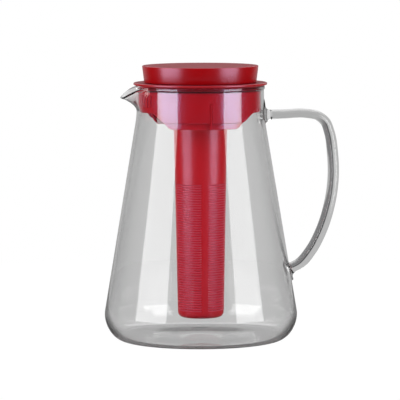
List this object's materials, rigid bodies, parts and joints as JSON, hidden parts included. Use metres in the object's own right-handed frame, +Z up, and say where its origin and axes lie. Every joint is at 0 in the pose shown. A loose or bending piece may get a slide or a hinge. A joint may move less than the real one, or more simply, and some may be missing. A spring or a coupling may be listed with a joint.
{
  "type": "iced tea maker",
  "caption": "Glass pouring jug with a turning strainer lid, a pull-off cap and a long slotted infuser tube that hangs inside it.",
  "frame": {"origin": "centre of the jug's flat base, on the surface it stands on", "axes": "+Z up along the jug's axis, -X towards the spout, +X towards the handle, -Y towards the lid's front slit"},
  "size_m": [0.1962, 0.1596, 0.226],
  "materials": {
    "jug_glass": "clear blown borosilicate glass",
    "red_plastic": "satin moulded polypropylene",
    "red_silicone": "matte silicone rubber"
  },
  "bodies": {
    "jug": {"jug_body": "jug_glass", "jug_handle": "jug_glass"},
    "seal": {"neck_gasket": "red_silicone"},
    "lid": {"lid_base": "red_plastic"},
    "cap": {"cap_shell": "red_plastic", "cap_seal": "red_silicone"},
    "infuser": {"infuser_crown": "red_plastic", "infuser_tube": "red_plastic"}
  },
  "joints": [
    {"name": "lid_lift", "type": "slide", "parent": "jug", "child": "seal", "axis": [0, 0, 1], "range_m": [0, 0.2]},
    {"name": "lid_turn", "type": "hinge", "parent": "seal", "child": "lid", "pos_m": [0, 0, 0.2095], "axis": [0, 0, 1], "continuous": true},
    {"name": "cap_lift", "type": "slide", "parent": "lid", "child": "cap", "axis": [0, 0, 1], "range_m": [0, 0.03]},
    {"name": "infuser_release", "type": "slide", "parent": "lid", "child": "infuser", "axis": [0, 0, -1], "range_m": [0, 0.012]}
  ]
}
